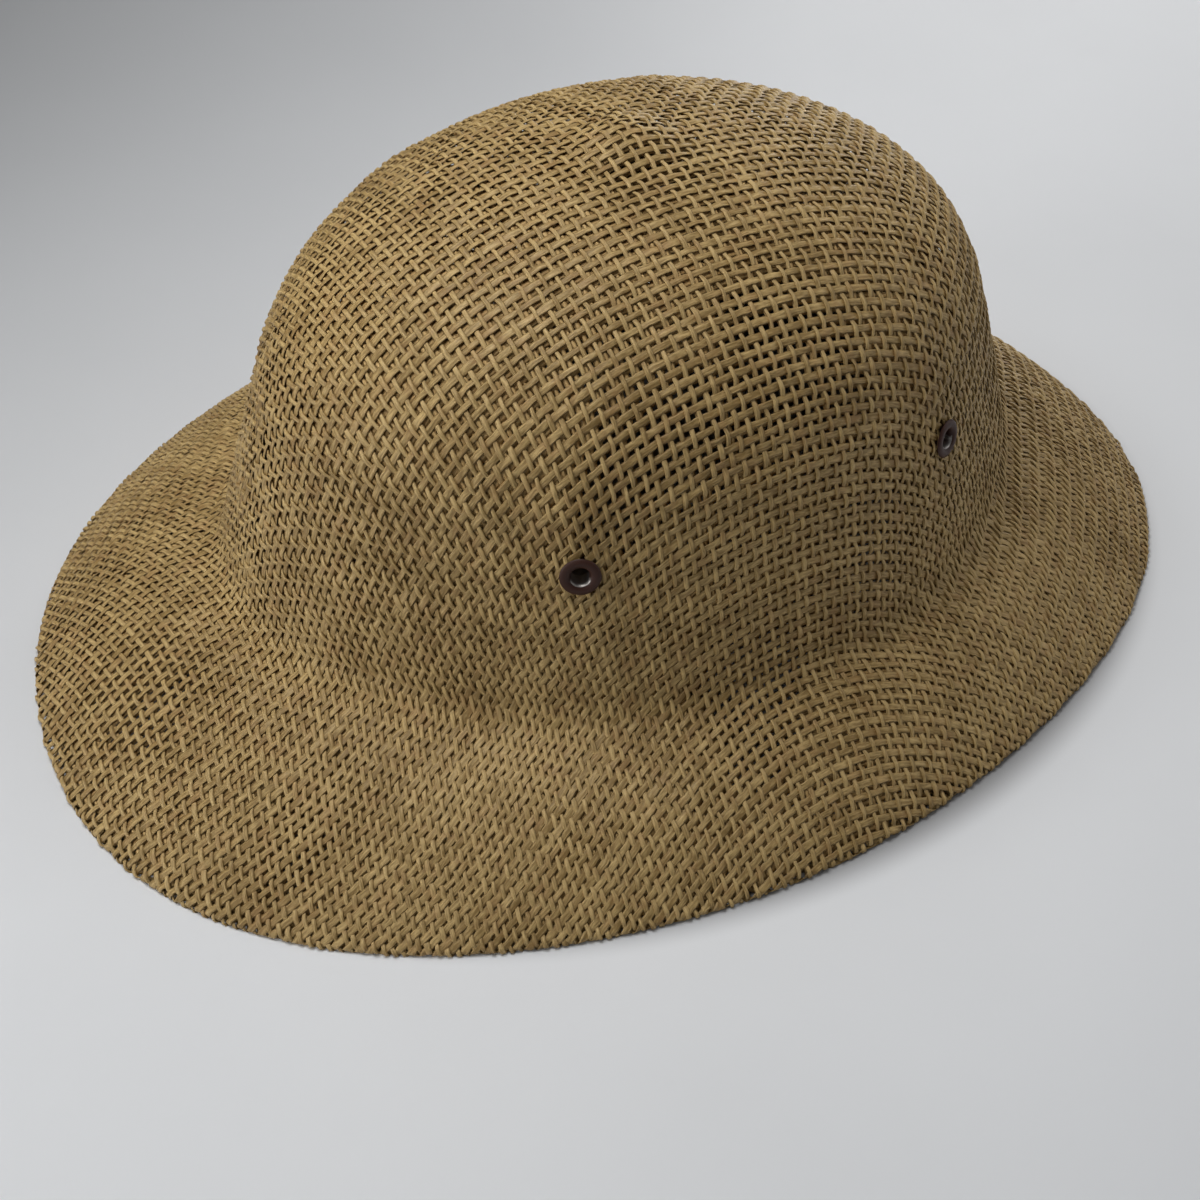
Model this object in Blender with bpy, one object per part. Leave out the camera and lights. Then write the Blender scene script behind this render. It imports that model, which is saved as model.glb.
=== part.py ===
"""Straw pith helmet: two nested layers of woven straw blocked into a crown and a down-turned brim, the
outer layer turned under at the brim edge as a hem, and four painted metal eyelets through both layers.

Metres, +Z up. The front of the hat faces -Y and its long axis is Y. The brim rests on z = 0, with the
origin at the centre of the footprint."""

import math

import bmesh
import bpy
from mathutils import Matrix, Vector

MM = 0.001
NORMAL_STEP = 0.02

# Brim edge, in millimetres, seen from above
BRIM_HALF_WIDTH = 131.9
BRIM_FRONT = 174.4
BRIM_BACK = 162.8
BRIM_FRONT_POWER = 1.93
BRIM_BACK_POWER = 2.04

# Small departures of the brim edge from that oval, as shares of its radius: wave, count and size
BRIM_WAVES = (
    ("sin", 3, -0.0196),
    ("cos", 3, -0.0167),
    ("cos", 4, -0.0041),
    ("cos", 6, 0.0033),
)

# Crease between crown and brim
CREASE_HALF_WIDTH = 92.1
CREASE_HALF_LENGTH = 115.7
CREASE_CENTRE_Y = 3.6
CREASE_HEIGHT = 31.7
CREASE_END_RISE = 1.5
CREASE_SQUARENESS = 0.0086

# Crown above the crease: a dome with two powers and three small sine corrections of its radius
CROWN_RISE = 106.6
CROWN_HEIGHT_POWER = 2.23
CROWN_RADIUS_POWER = 2.18
CROWN_FULLNESS = (-0.023, -0.030, 0.006)
CROWN_BACK_FULLNESS = 0.009

# Fillet of the crease, and how far the middle of the brim bulges above a straight slope
FILLET_UP = 6.0
FILLET_OUT = 0.12
BRIM_BULGE = 4.5

# Pressed button at the top of the crown
BUTTON_RADIUS = 18.5
BUTTON_RISE = 4.0

# Soft upright ridges that run from the button to the eyelets
RIDGE_RISE = 1.0
RIDGE_HALF_ANGLE = 9.0

# Pressed pleats round the lower crown: height above the table and rise
PLEATS = (
    {"height": 58.0, "rise": 0.45},
    {"height": 72.5, "rise": 0.45},
    {"height": 87.0, "rise": 0.40},
)
PLEAT_HALF_WIDTH = 5.5

# Layers
LAYER_THICKNESS = 1.2
LAYER_GAP = 0.3
FOLD_RADIUS = 1.6
FOLD_CENTRE_HEIGHT = 1.0
EDGE_NORMAL_RISE = 0.75
FOLD_OUTSIDE_ANGLES = (30, 60, 90, 120, 150)
FOLD_INSIDE_ANGLES = (130, 90, 50)
HEM_ROWS = 1
SEGMENTS = 40

# Rows of the surface between apex and crease, and between crease and brim edge
CROWN_ROW_HEIGHTS = (94.0, 87.0, 79.7, 72.5, 65.2, 58.0, 50.0)
DOME_ROWS = 6
BUTTON_ROWS = (6.0, 12.0, 18.5)
FILLET_ROWS = 3
BRIM_ROW_SHARES = (0.25, 0.42, 0.60, 0.76, 0.89, 1.0)

# Eyelets: turn of each round the crown (from +X towards the back), and the height of their centres
EYELETS = (
    {"name": "eyelet_right_front", "turn": -30.7},
    {"name": "eyelet_right_rear", "turn": 30.7},
    {"name": "eyelet_left_rear", "turn": 149.3},
    {"name": "eyelet_left_front", "turn": 210.7},
)
EYELET_HEIGHT = 72.0
EYELET_FLANGE_RADIUS = 5.15
EYELET_FLANGE_THICKNESS = 0.7
EYELET_CLEARANCE = 0.15
EYELET_BARREL_RADIUS = 3.2
EYELET_HOLE_RADIUS = 2.6
EYELET_BACK_RADIUS = 4.1
EYELET_BACK_CLEARANCE = 1.4
EYELET_RIM_CHAMFER = 0.9
EYELET_RIM_STEP = 0.25
EYELET_MOUTH_ROUND = 0.5
EYELET_COLLAR_THICKNESS = 0.5
EYELET_SIDES = 16
LAYER_HOLE_RADIUS = 3.8
LAYER_HOLE_LENGTH = 12.0


def power(value, exponent):
    return math.copysign(abs(value) ** exponent, value)


def brim_point(turn):
    """Point of the brim edge, seen from above, at a turn from +X towards the back."""
    exponent = 2 / (BRIM_FRONT_POWER if math.sin(turn) < 0 else BRIM_BACK_POWER)
    length = BRIM_FRONT if math.sin(turn) < 0 else BRIM_BACK
    share = 1.0
    for wave, count, size in BRIM_WAVES:
        share += size * (math.sin(count * turn) if wave == "sin" else math.cos(count * turn))
    return (
        BRIM_HALF_WIDTH * power(math.cos(turn), exponent) * share,
        length * power(math.sin(turn), exponent) * share,
    )


def dome_share(rise):
    """Radius of the crown, as a share of the radius at the crease, at a share of its height."""
    fullness = 1.0
    for count, size in enumerate(CROWN_FULLNESS, 1):
        fullness += size * math.sin(count * math.pi * rise)
    return max(1 - rise**CROWN_HEIGHT_POWER, 0.0) ** (1 / CROWN_RADIUS_POWER) * fullness


def crown_point(rise, turn):
    """Point of the plain dome, without button, ridges and pleats."""
    share = dome_share(rise)
    share *= 1 + CREASE_SQUARENESS * math.cos(4 * turn) * (1 - rise)
    share *= 1 + CROWN_BACK_FULLNESS * math.sin(turn) * math.sin(math.pi * rise)
    return Vector((
        CREASE_HALF_WIDTH * share * math.cos(turn),
        CREASE_CENTRE_Y + CREASE_HALF_LENGTH * share * math.sin(turn),
        CREASE_HEIGHT - CREASE_END_RISE * math.cos(2 * turn) * (1 - rise) + CROWN_RISE * rise,
    ))


def slope_point(share, turn):
    """Point of the brim at a share of the way from the crease to the edge."""
    crease = crown_point(0.0, turn)
    x, y = brim_point(turn)
    edge_height = FOLD_CENTRE_HEIGHT + FOLD_RADIUS * EDGE_NORMAL_RISE
    height = crease.z + (edge_height - crease.z) * share + BRIM_BULGE * math.sin(math.pi * share)
    return Vector((crease.x + (x - crease.x) * share, crease.y + (y - crease.y) * share, height))


def fillet_point(share, turn):
    """Point of the rounded crease, from the crown wall (0) to the brim (1)."""
    wall = crown_point(FILLET_UP / CROWN_RISE, turn)
    corner = crown_point(0.0, turn)
    slope = slope_point(FILLET_OUT, turn)
    return wall * (1 - share) ** 2 + corner * (2 * share * (1 - share)) + slope * share**2


def bell(distance, half_width):
    """Smooth bump that is 1 at distance 0 and 0 from half_width on."""
    if abs(distance) >= half_width:
        return 0.0
    return 0.5 + 0.5 * math.cos(math.pi * distance / half_width)


def relief(point, turn):
    """How far button, upright ridges and pleats lift the surface at a point."""
    lift = BUTTON_RISE * bell(math.hypot(point.x, point.y - CREASE_CENTRE_Y), BUTTON_RADIUS)
    if point.z > CREASE_HEIGHT + FILLET_UP:
        for pleat in PLEATS:
            lift += pleat["rise"] * bell(point.z - pleat["height"], PLEAT_HALF_WIDTH)
        climb = (point.z - CREASE_HEIGHT) / CROWN_RISE
        for eyelet in EYELETS:
            away = (math.degrees(turn) - eyelet["turn"] + 180) % 360 - 180
            lift += RIDGE_RISE * bell(away, RIDGE_HALF_ANGLE) * math.sin(math.pi * min(climb, 1.0))
    return lift


def rise_at_height(height):
    """Share of the crown's height at a height above the table."""
    return (height - CREASE_HEIGHT) / CROWN_RISE


def rise_at_radius(radius):
    """Share of the crown's height at which the dome has this half width, found by halving."""
    low, high = 0.5, 1.0
    for _ in range(40):
        middle = (low + high) / 2
        if dome_share(middle) * CREASE_HALF_WIDTH > radius:
            low = middle
        else:
            high = middle
    return low


def rows():
    """Rows of the surface from the apex outwards, each a function of the turn."""
    rises = [1.0] + [rise_at_radius(radius) for radius in BUTTON_ROWS]
    start = math.acos(rises[-1] ** (CROWN_HEIGHT_POWER / 2))
    end = math.acos(rise_at_height(CROWN_ROW_HEIGHTS[0]) ** (CROWN_HEIGHT_POWER / 2))
    for index in range(1, DOME_ROWS):
        angle = start + (end - start) * index / DOME_ROWS
        rises.append(math.cos(angle) ** (2 / CROWN_HEIGHT_POWER))
    rises += [rise_at_height(height) for height in CROWN_ROW_HEIGHTS]
    found = [lambda turn, rise=rise: crown_point(rise, turn) for rise in rises]
    for index in range(FILLET_ROWS + 1):
        found.append(lambda turn, share=index / FILLET_ROWS: fillet_point(share, turn))
    for share in BRIM_ROW_SHARES:
        found.append(lambda turn, share=share: slope_point(share, turn))
    return found


def surface_grid():
    """Points and outward normals of the outer face, a list of rows with SEGMENTS places in each."""
    turns = [2 * math.pi * place / SEGMENTS for place in range(SEGMENTS)]
    plain = [[row(turn) for turn in turns] for row in rows()]

    def normals_of(grid):
        found = []
        for index, row in enumerate(grid):
            before = grid[max(index - 1, 0)]
            after = grid[min(index + 1, len(grid) - 1)]
            line = []
            for place in range(SEGMENTS):
                across = row[(place + 1) % SEGMENTS] - row[place - 1]
                along = after[place] - before[place]
                line.append(along.cross(across).normalized() if index else Vector((0, 0, 1)))
            found.append(line)
        return found

    grid = []
    for row, normals in zip(plain, normals_of(plain)):
        line = [point + normal * relief(point, turn) for point, normal, turn in zip(row, normals, turns)]
        grid.append(line)
    return grid, normals_of(grid)


def offset_row(row, normals, depth):
    """Row of points a depth below the outer face, never lower than the table."""
    line = [point - normal * depth for point, normal in zip(row, normals)]
    for point in line:
        point.z = max(point.z, 0.0)
    return line


def fold_row(edge, normals, radius, angle):
    """Row of the rolled hem: angle 0 faces out like the brim, and half a turn faces back under it."""
    line = []
    for place, (point, normal) in enumerate(zip(edge, normals)):
        across = edge[(place + 1) % SEGMENTS] - edge[place - 1]
        outward = across.cross(normal).normalized()
        centre = point - normal * FOLD_RADIUS
        rolled = centre + (normal * math.cos(angle) + outward * math.sin(angle)) * radius
        rolled.z = max(rolled.z, 0.0)
        line.append(rolled)
    return line


def mesh_object(name, loops, shift):
    """Closed body from rows round the hat: the first and the last row shrink to a point at the apex."""
    mesh = bmesh.new()
    first = mesh.verts.new((loops[0][0] + shift) * MM)
    last = mesh.verts.new((loops[-1][0] + shift) * MM)
    rings = []
    for loop in loops[1:-1]:
        rings.append([mesh.verts.new((point + shift) * MM) for point in loop])
    for place in range(SEGMENTS):
        following = (place + 1) % SEGMENTS
        mesh.faces.new((first, rings[0][place], rings[0][following]))
        for upper, lower in zip(rings, rings[1:]):
            mesh.faces.new((upper[place], lower[place], lower[following], upper[following]))
        mesh.faces.new((last, rings[-1][following], rings[-1][place]))
    bmesh.ops.recalc_face_normals(mesh, faces=mesh.faces)
    data = bpy.data.meshes.new(name)
    mesh.to_mesh(data)
    mesh.free()
    body = bpy.data.objects.new(name, data)
    bpy.context.scene.collection.objects.link(body)
    return body


def paint(body, name, colour, roughness, metallic):
    material = bpy.data.materials.new(name)
    material.use_nodes = True
    shader = material.node_tree.nodes["Principled BSDF"]
    shader.inputs["Base Color"].default_value = (*colour, 1)
    shader.inputs["Roughness"].default_value = roughness
    shader.inputs["Metallic"].default_value = metallic
    material.diffuse_color = (*colour, 1)
    body.data.materials.append(material)


def round_off(body, angle):
    bpy.ops.object.select_all(action="DESELECT")
    body.select_set(True)
    bpy.context.view_layer.objects.active = body
    body.data.shade_smooth()
    body.data.set_sharp_from_angle(angle=math.radians(angle))


def turned_piece(name, outline, place, sides):
    """Body turned round the line through place: outline is a loop of radius and height above the layers."""
    mesh = bmesh.new()
    rings = []
    for radius, height in outline:
        ring = []
        for side in range(sides):
            angle = 2 * math.pi * side / sides
            local = Vector((radius * math.cos(angle), radius * math.sin(angle), height)) * MM
            ring.append(mesh.verts.new(place @ local))
        rings.append(ring)
    for index, ring in enumerate(rings):
        after = rings[(index + 1) % len(rings)]
        for side in range(sides):
            following = (side + 1) % sides
            mesh.faces.new((ring[side], after[side], after[following], ring[following]))
    bmesh.ops.recalc_face_normals(mesh, faces=mesh.faces)
    data = bpy.data.meshes.new(name)
    mesh.to_mesh(data)
    mesh.free()
    body = bpy.data.objects.new(name, data)
    bpy.context.scene.collection.objects.link(body)
    return body


def eyelet_place(turn_degrees, shift):
    """Frame at an eyelet's centre, with its Z axis straight out of the crown."""
    turn = math.radians(turn_degrees)
    rise = rise_at_height(EYELET_HEIGHT)
    step = NORMAL_STEP
    centre = crown_point(rise, turn)
    along = crown_point(rise - step, turn) - crown_point(rise + step, turn)
    across = crown_point(rise, turn + step) - crown_point(rise, turn - step)
    normal = along.cross(across).normalized()
    centre += normal * relief(centre, turn)
    side = across.normalized()
    frame = Matrix((side, normal.cross(side), normal)).transposed().to_4x4()
    frame.translation = (centre + shift) * MM
    return frame


def cut_hole(body, place, label):
    """Round hole through one layer, along the line of an eyelet."""
    bpy.ops.mesh.primitive_cylinder_add(
        vertices=EYELET_SIDES, radius=LAYER_HOLE_RADIUS * MM, depth=LAYER_HOLE_LENGTH * MM
    )
    cutter = bpy.context.object
    cutter.name = f"cutter_{label}"
    cutter.matrix_world = place
    cutter.hide_render = True
    cutter.display_type = "WIRE"
    modifier = body.modifiers.new(f"hole_{label}", "BOOLEAN")
    modifier.operation = "DIFFERENCE"
    modifier.solver = "EXACT"
    modifier.object = cutter
    return cutter


for thing in list(bpy.data.objects):
    bpy.data.objects.remove(thing, do_unlink=True)

grid, normals = surface_grid()
widest = fold_row(grid[-1], normals[-1], FOLD_RADIUS, math.radians(FOLD_OUTSIDE_ANGLES[1]))
lows = [min(point[axis] for point in widest) for axis in range(2)]
highs = [max(point[axis] for point in widest) for axis in range(2)]
shift = Vector((-(lows[0] + highs[0]) / 2, -(lows[1] + highs[1]) / 2, 0))

# Outer layer: outer face, rolled edge, hem under the brim, inner face
last = len(grid) - 1
outer_loops = list(grid)
for angle in FOLD_OUTSIDE_ANGLES:
    outer_loops.append(fold_row(grid[last], normals[last], FOLD_RADIUS, math.radians(angle)))
hem_depth = 2 * FOLD_RADIUS
for index in range(last, last - HEM_ROWS - 1, -1):
    outer_loops.append(offset_row(grid[index], normals[index], hem_depth))
for index in range(last - HEM_ROWS, last + 1):
    outer_loops.append(offset_row(grid[index], normals[index], hem_depth - LAYER_THICKNESS))
for angle in FOLD_INSIDE_ANGLES:
    outer_loops.append(
        fold_row(grid[last], normals[last], FOLD_RADIUS - LAYER_THICKNESS, math.radians(angle))
    )
for index in range(last, -1, -1):
    outer_loops.append(offset_row(grid[index], normals[index], LAYER_THICKNESS))
outer_layer = mesh_object("outer_layer", outer_loops, shift)

# Inner layer: the same form inside the first, ending above the hem
inner_top = LAYER_THICKNESS + LAYER_GAP
inner_last = last - HEM_ROWS - 1
inner_loops = [offset_row(grid[index], normals[index], inner_top) for index in range(inner_last + 1)]
for index in range(inner_last, -1, -1):
    inner_loops.append(offset_row(grid[index], normals[index], inner_top + LAYER_THICKNESS))
inner_layer = mesh_object("inner_layer", inner_loops, shift)

# Eyelets: a flange outside, a barrel through both layers and a rolled collar inside
total_depth = 2 * LAYER_THICKNESS + LAYER_GAP
flange_base = EYELET_CLEARANCE
flange_top = flange_base + EYELET_FLANGE_THICKNESS
collar_top = -total_depth - EYELET_BACK_CLEARANCE
eyelet_outline = (
    (EYELET_HOLE_RADIUS, flange_top - EYELET_MOUTH_ROUND),
    (EYELET_HOLE_RADIUS + EYELET_MOUTH_ROUND, flange_top),
    (EYELET_FLANGE_RADIUS - EYELET_RIM_CHAMFER, flange_top),
    (EYELET_FLANGE_RADIUS, flange_base + EYELET_RIM_STEP),
    (EYELET_FLANGE_RADIUS, flange_base),
    (EYELET_BARREL_RADIUS, flange_base),
    (EYELET_BARREL_RADIUS, collar_top),
    (EYELET_BACK_RADIUS, collar_top),
    (EYELET_BACK_RADIUS, collar_top - EYELET_COLLAR_THICKNESS),
    (EYELET_HOLE_RADIUS, collar_top - EYELET_COLLAR_THICKNESS),
)
for eyelet in EYELETS:
    place = eyelet_place(eyelet["turn"], shift)
    body = turned_piece(eyelet["name"], eyelet_outline, place, EYELET_SIDES)
    paint(body, f"paint_{eyelet['name']}", (0.045, 0.020, 0.017), 0.38, 0.35)
    round_off(body, 35)
    for layer in (outer_layer, inner_layer):
        cut_hole(layer, place, f"{layer.name}_{eyelet['name']}")

paint(outer_layer, "straw_outer", (0.42, 0.30, 0.14), 0.62, 0.0)
paint(inner_layer, "straw_inner", (0.34, 0.24, 0.11), 0.66, 0.0)
for layer in (outer_layer, inner_layer):
    round_off(layer, 40)
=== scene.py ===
# %% [markdown]
# # A straw sun helmet, strand by strand
#
# The real hat is a mat of paper straw in an open plain weave, laid double, steamed and pulled over a wooden
# block. What makes it look real is the weave itself: every strand goes over one neighbour and under the next,
# the mat shears into narrow diamonds where the block pulls it round a corner, and the second layer shows
# through the holes of the first. This lesson therefore builds the strands as real geometry, and keeps bump
# for the fibres inside one strand.
#
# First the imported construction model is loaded. It fixes the hat's size and place, and nothing below moves
# it.

# %% The frame
import math

import bpy
import numpy as np
from mathutils import Matrix, Vector


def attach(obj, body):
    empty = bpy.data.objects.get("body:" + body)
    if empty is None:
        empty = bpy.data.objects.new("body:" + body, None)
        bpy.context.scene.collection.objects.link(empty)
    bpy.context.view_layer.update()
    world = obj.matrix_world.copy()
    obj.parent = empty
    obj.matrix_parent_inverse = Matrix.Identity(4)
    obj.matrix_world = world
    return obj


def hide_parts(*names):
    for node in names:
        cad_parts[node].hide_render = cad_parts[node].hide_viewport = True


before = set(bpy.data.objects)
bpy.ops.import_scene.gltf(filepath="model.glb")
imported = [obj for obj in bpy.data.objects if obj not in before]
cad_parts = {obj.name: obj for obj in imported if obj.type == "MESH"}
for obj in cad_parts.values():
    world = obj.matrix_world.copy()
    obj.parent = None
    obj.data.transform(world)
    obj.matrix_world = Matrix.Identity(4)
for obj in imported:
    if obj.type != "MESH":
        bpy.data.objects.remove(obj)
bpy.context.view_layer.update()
MM = 0.001
BODY = "root"

# %% [markdown]
# ## The camera
#
# The photograph looks down on the hat's right side from its front quarter. The camera is given as an orbit:
# a turn round the hat, a height above the floor, a distance, and the small amounts by which the hat sits off
# the picture's centre. The lens was chosen with the distance, so that near and far brim have the photograph's
# proportions. No lens shift is used.

# %% Camera
VIEW_TURN = math.radians(-29.49)
VIEW_HEIGHT = math.radians(43.42)
VIEW_DISTANCE = 0.57258
VIEW_TARGET = Vector((0.0022, 0.0025, 0.057))
VIEW_SIDEWAYS = -0.00309
VIEW_UPWARDS = -0.05474
LENS_MM = 62.54
SENSOR_MM = 36.0

forward = -Vector((
    math.cos(VIEW_HEIGHT) * math.cos(VIEW_TURN),
    math.cos(VIEW_HEIGHT) * math.sin(VIEW_TURN),
    math.sin(VIEW_HEIGHT),
))
sideways = forward.cross(Vector((0, 0, 1))).normalized()
upwards = sideways.cross(forward)
camera_data = bpy.data.cameras.new("photo_camera")
camera_data.sensor_width = SENSOR_MM
camera_data.lens = LENS_MM
camera = bpy.data.objects.new("photo_camera", camera_data)
bpy.context.scene.collection.objects.link(camera)
camera_place = Matrix((sideways, upwards, -forward)).transposed().to_4x4()
camera_place.translation = (
    VIEW_TARGET - forward * VIEW_DISTANCE + sideways * VIEW_SIDEWAYS + upwards * VIEW_UPWARDS
)
camera.matrix_world = camera_place
bpy.context.scene.camera = camera
print("camera at", [round(value, 3) for value in camera_place.translation])

# %% [markdown]
# ## The form of the block
#
# The strands have to lie on the hat's own surface, so the lesson needs that surface as a function. These are
# the block's driving sizes in millimetres, the same as in the construction model: an oval brim with a few
# gentle waves, a dome whose section follows two powers, a rounded crease between them, a pressed button at
# the top, three faint pleats and four soft ridges. Written as functions of whole arrays, they give several
# hundred thousand places in a moment.

# %% Block sizes
BRIM_HALF_WIDTH = 131.9
BRIM_FRONT = 174.4
BRIM_BACK = 162.8
BRIM_FRONT_POWER = 1.93
BRIM_BACK_POWER = 2.04
BRIM_WAVES = (
    ("sin", 3, -0.0196),
    ("cos", 3, -0.0167),
    ("cos", 4, -0.0041),
    ("cos", 6, 0.0033),
)
CREASE_HALF_WIDTH = 92.1
CREASE_HALF_LENGTH = 115.7
CREASE_CENTRE_Y = 3.6
CREASE_HEIGHT = 31.7
CREASE_END_RISE = 1.5
CREASE_SQUARENESS = 0.0086
CROWN_RISE = 106.6
CROWN_HEIGHT_POWER = 2.23
CROWN_RADIUS_POWER = 2.18
CROWN_FULLNESS = (-0.023, -0.030, 0.006)
CROWN_BACK_FULLNESS = 0.009
FILLET_UP = 6.0
FILLET_OUT = 0.12
BRIM_BULGE = 4.5
BUTTON_RADIUS = 18.5
BUTTON_RISE = 4.0
RIDGE_RISE = 1.0
RIDGE_HALF_ANGLE = 9.0
PLEATS = (
    {"height": 58.0, "rise": 0.45},
    {"height": 72.5, "rise": 0.45},
    {"height": 87.0, "rise": 0.40},
)
PLEAT_HALF_WIDTH = 5.5
FOLD_RADIUS = 1.6
FOLD_CENTRE_HEIGHT = 1.0
EDGE_NORMAL_RISE = 0.75
EYELETS = (
    {"name": "eyelet_right_front", "turn": -30.7},
    {"name": "eyelet_right_rear", "turn": 30.7},
    {"name": "eyelet_left_rear", "turn": 149.3},
    {"name": "eyelet_left_front", "turn": 210.7},
)
EYELET_HEIGHT = 72.0


# %% Form functions
def signed_power(value, exponent):
    return np.sign(value) * np.abs(value) ** exponent


def brim_edge(turn):
    """Brim edge seen from above, at a turn from +X towards the back."""
    back = np.sin(turn) >= 0
    exponent = 2 / np.where(back, BRIM_BACK_POWER, BRIM_FRONT_POWER)
    length = np.where(back, BRIM_BACK, BRIM_FRONT)
    share = np.ones_like(turn)
    for wave, count, size in BRIM_WAVES:
        share += size * (np.sin(count * turn) if wave == "sin" else np.cos(count * turn))
    return (
        BRIM_HALF_WIDTH * signed_power(np.cos(turn), exponent) * share,
        length * signed_power(np.sin(turn), exponent) * share,
    )


def crown(rise, turn):
    """Plain dome at a share of its height."""
    fullness = 1.0
    for count, size in enumerate(CROWN_FULLNESS, 1):
        fullness = fullness + size * np.sin(count * np.pi * rise)
    share = np.maximum(1 - rise**CROWN_HEIGHT_POWER, 0) ** (1 / CROWN_RADIUS_POWER) * fullness
    share = share * (1 + CREASE_SQUARENESS * np.cos(4 * turn) * (1 - rise))
    share = share * (1 + CROWN_BACK_FULLNESS * np.sin(turn) * np.sin(np.pi * rise))
    return np.stack(np.broadcast_arrays(
        CREASE_HALF_WIDTH * share * np.cos(turn),
        CREASE_CENTRE_Y + CREASE_HALF_LENGTH * share * np.sin(turn),
        CREASE_HEIGHT - CREASE_END_RISE * np.cos(2 * turn) * (1 - rise) + CROWN_RISE * rise,
    ), axis=-1)


def slope(share, turn):
    """Brim at a share of the way from the crease to the edge."""
    crease = crown(np.zeros_like(turn), turn)
    x, y = brim_edge(turn)
    edge = np.stack([x, y, np.full_like(x, FOLD_CENTRE_HEIGHT + FOLD_RADIUS * EDGE_NORMAL_RISE)], axis=-1)
    share = np.asarray(share)[..., None]
    point = crease + (edge - crease) * share
    point[..., 2:] += BRIM_BULGE * np.sin(np.pi * share)
    return point


def fillet(share, turn):
    """Rounded crease, from the crown wall (0) to the brim (1)."""
    wall = crown(np.full_like(turn, FILLET_UP / CROWN_RISE), turn)
    corner = crown(np.zeros_like(turn), turn)
    brim = slope(np.full_like(turn, FILLET_OUT), turn)
    share = np.asarray(share)[..., None]
    return wall * (1 - share) ** 2 + corner * (2 * share * (1 - share)) + brim * share**2


def bell(distance, half_width):
    """Smooth bump that is 1 at distance 0 and 0 from half_width on."""
    return np.where(np.abs(distance) < half_width, 0.5 + 0.5 * np.cos(np.pi * distance / half_width), 0)


def relief(point, turn):
    """How far button, pleats and ridges lift the surface."""
    lift = BUTTON_RISE * bell(np.hypot(point[..., 0], point[..., 1] - CREASE_CENTRE_Y), BUTTON_RADIUS)
    wall = point[..., 2] > CREASE_HEIGHT + FILLET_UP
    for pleat in PLEATS:
        lift += wall * pleat["rise"] * bell(point[..., 2] - pleat["height"], PLEAT_HALF_WIDTH)
    climb = np.clip((point[..., 2] - CREASE_HEIGHT) / CROWN_RISE, 0, 1)
    for eyelet in EYELETS:
        away = (np.degrees(turn) - eyelet["turn"] + 180) % 360 - 180
        lift += wall * RIDGE_RISE * bell(away, RIDGE_HALF_ANGLE) * np.sin(np.pi * climb)
    return lift


def normals_of(grid):
    """Outward normals of a grid whose rows run from the top outwards and whose columns go round."""
    along = np.gradient(grid, axis=0)
    across = np.roll(grid, -1, axis=1) - np.roll(grid, 1, axis=1)
    normal = np.cross(along, across)
    normal[0] = (0, 0, 1)
    return normal / np.linalg.norm(normal, axis=-1, keepdims=True)


# %% [markdown]
# The functions are sampled once on a fine grid: one column for each half degree round the hat, and a row for
# about every half millimetre of the way out from the top. The distance walked along a column, from the top
# over the crown and brim to the edge, is the natural way to say how far out a strand is, so the rows are
# spaced evenly in that distance.

# %% Surface table
COLUMNS = 720
ROWS = 480
WALL_SECTIONS = 360
FILLET_SECTIONS = 30
BRIM_SECTIONS = 140
JUST_INSIDE = 0.001

turns = np.linspace(0, 2 * np.pi, COLUMNS, endpoint=False)
lowest_angle = math.acos((FILLET_UP / CROWN_RISE) ** (CROWN_HEIGHT_POWER / 2))
wall_angles = np.linspace(0, lowest_angle, WALL_SECTIONS)
fillet_shares = np.linspace(0, 1, FILLET_SECTIONS)[1:]
brim_shares = np.linspace(FILLET_OUT, 1, BRIM_SECTIONS)[1:]
sections = [crown(math.cos(angle) ** (2 / CROWN_HEIGHT_POWER), turns) for angle in wall_angles]
sections += [fillet(np.full(COLUMNS, share), turns) for share in fillet_shares]
sections += [slope(np.full(COLUMNS, share), turns) for share in brim_shares]
raw = np.array(sections)
walked = np.zeros(raw.shape[:2])
walked[1:] = np.cumsum(np.linalg.norm(np.diff(raw, axis=0), axis=-1), axis=0)
reach = walked[-1]

plain = np.zeros((ROWS, COLUMNS, 3))
for column in range(COLUMNS):
    even = np.linspace(0, reach[column], ROWS)
    for axis in range(3):
        plain[:, column, axis] = np.interp(even, walked[:, column], raw[:, column, axis])
surface = plain + normals_of(plain) * relief(plain, turns)[..., None]
normals = normals_of(surface)
edge_centre = surface[-1] - normals[-1] * FOLD_RADIUS
edge_along = np.roll(surface[-1], -1, axis=0) - np.roll(surface[-1], 1, axis=0)
edge_out = np.cross(edge_along, normals[-1])
edge_out /= np.linalg.norm(edge_out, axis=-1, keepdims=True)
widest = edge_centre + FOLD_RADIUS * edge_out
origin = (widest.max(axis=0) + widest.min(axis=0)) / 2 * np.array((1, 1, 0))
surface -= origin
edge_centre -= origin
print("from top to edge:", reach.min().round(1), "to", reach.max().round(1), "mm, origin", origin.round(2))


# %% Reading the table
def between(table, row, turn):
    """Values of a table at a fractional row and a turn, in straight steps between its entries."""
    row = np.clip(row, 0, len(table) - 1 - JUST_INSIDE)
    column = (turn / (2 * np.pi) * COLUMNS) % COLUMNS
    low_row = row.astype(int)
    low_column = column.astype(int) % COLUMNS
    next_column = (low_column + 1) % COLUMNS
    down = (row - low_row)[..., None]
    over = (column - np.floor(column))[..., None]
    upper = table[low_row, low_column] * (1 - over) + table[low_row, next_column] * over
    lower = table[low_row + 1, low_column] * (1 - over) + table[low_row + 1, next_column] * over
    return upper * (1 - down) + lower * down


def around(line, turn):
    """Values of a closed line of entries at a turn."""
    column = (turn / (2 * np.pi) * COLUMNS) % COLUMNS
    low = column.astype(int) % COLUMNS
    share = column - np.floor(column)
    if line.ndim > 1:
        share = share[..., None]
    return line[low] * (1 - share) + line[(low + 1) % COLUMNS] * share


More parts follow.
